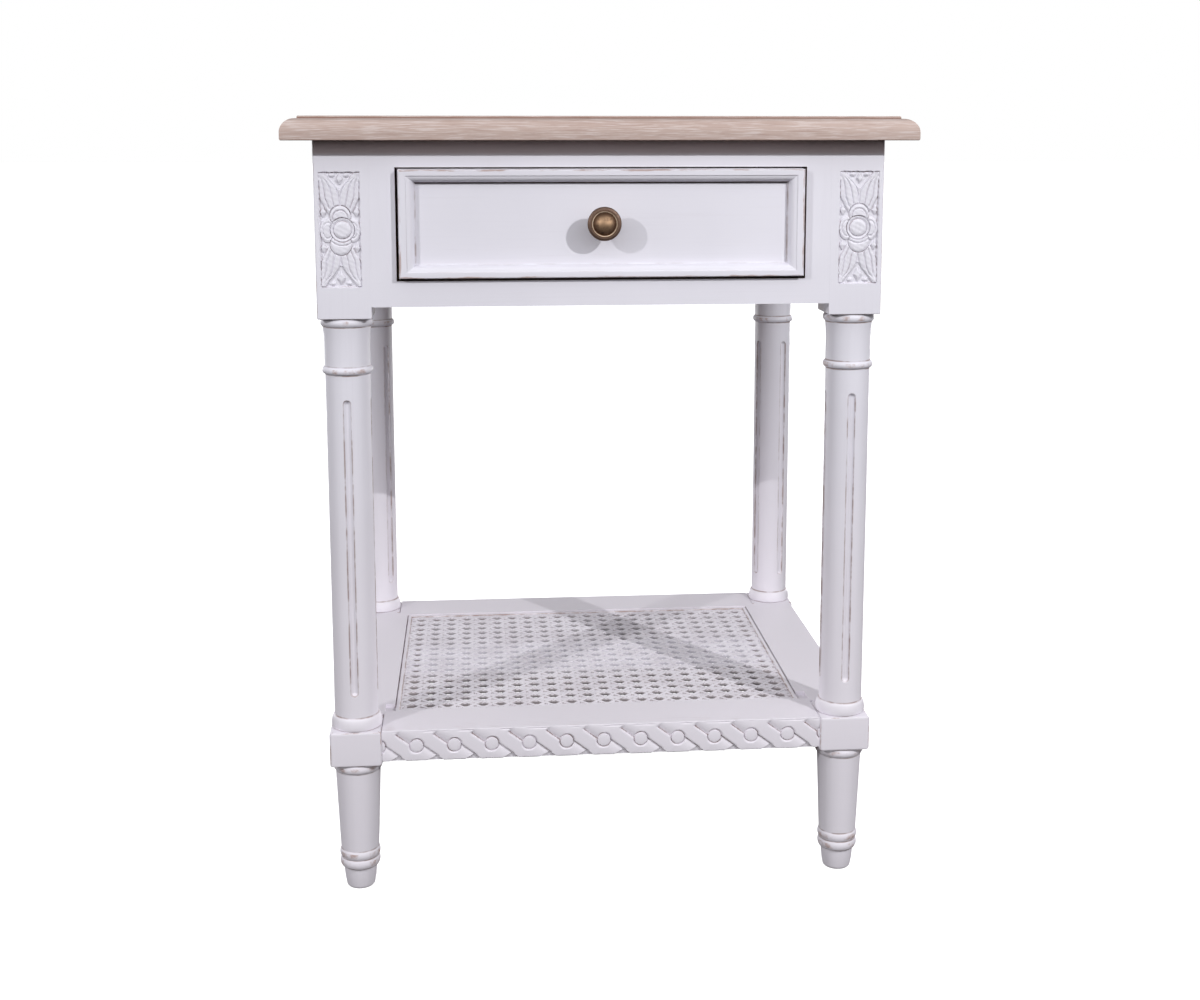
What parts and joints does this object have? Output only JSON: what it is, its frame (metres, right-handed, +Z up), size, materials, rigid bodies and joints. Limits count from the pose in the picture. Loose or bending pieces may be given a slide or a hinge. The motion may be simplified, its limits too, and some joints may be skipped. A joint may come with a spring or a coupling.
{
  "type": "nightstand",
  "caption": "Painted bedside table with turned fluted legs, a moulded limed oak top, a drawer with a brass knob and a low cane shelf behind a carved rail.",
  "frame": {"origin": "on the floor, under the middle of the top", "axes": "+X to the right of someone facing the drawer, +Y to the back, +Z up"},
  "size_m": [0.5, 0.42, 0.646],
  "materials": {
    "white_paint": "satin, rubbed through",
    "limed_oak": "limed, matt",
    "raw_wood": "bare",
    "painted_cane": "satin",
    "aged_brass": "aged",
    "steel": "plated"
  },
  "bodies": {
    "frame": {"tabletop": "limed_oak", "cane_panel": "painted_cane", "leg_front_left": "white_paint", "leg_front_right": "white_paint", "leg_rear_left": "white_paint", "leg_rear_right": "white_paint", "front_top_rail": "white_paint", "front_bottom_rail": "white_paint", "drawer_stile_left": "white_paint", "drawer_stile_right": "white_paint", "side_apron_left": "white_paint", "side_apron_right": "white_paint", "back_apron": "white_paint", "shelf_front_rail": "white_paint", "shelf_rear_rail": "white_paint", "shelf_side_rail_left": "white_paint", "shelf_side_rail_right": "white_paint", "cane_spline_front": "white_paint", "cane_spline_rear": "white_paint", "cane_spline_left": "white_paint", "cane_spline_right": "white_paint", "drawer_runner_left": "raw_wood", "drawer_runner_right": "raw_wood", "drawer_guide_left": "raw_wood", "drawer_guide_right": "raw_wood", "drawer_kicker_left": "raw_wood", "drawer_kicker_right": "raw_wood", "drawer_stop_left": "raw_wood", "drawer_stop_right": "raw_wood", "top_screws": "steel"},
    "drawer": {"drawer_front": "white_paint", "drawer_moulding_top": "white_paint", "drawer_moulding_bottom": "white_paint", "drawer_moulding_left": "white_paint", "drawer_moulding_right": "white_paint", "drawer_side_left": "raw_wood", "drawer_side_right": "raw_wood", "drawer_back": "raw_wood", "drawer_bottom": "raw_wood", "knob": "aged_brass", "knob_screw": "steel", "drawer_bottom_screws": "steel"}
  },
  "joints": [
    {"name": "drawer_slide", "type": "slide", "parent": "frame", "child": "drawer", "axis": [0, -1, 0], "range_m": [0, 0.24]}
  ]
}
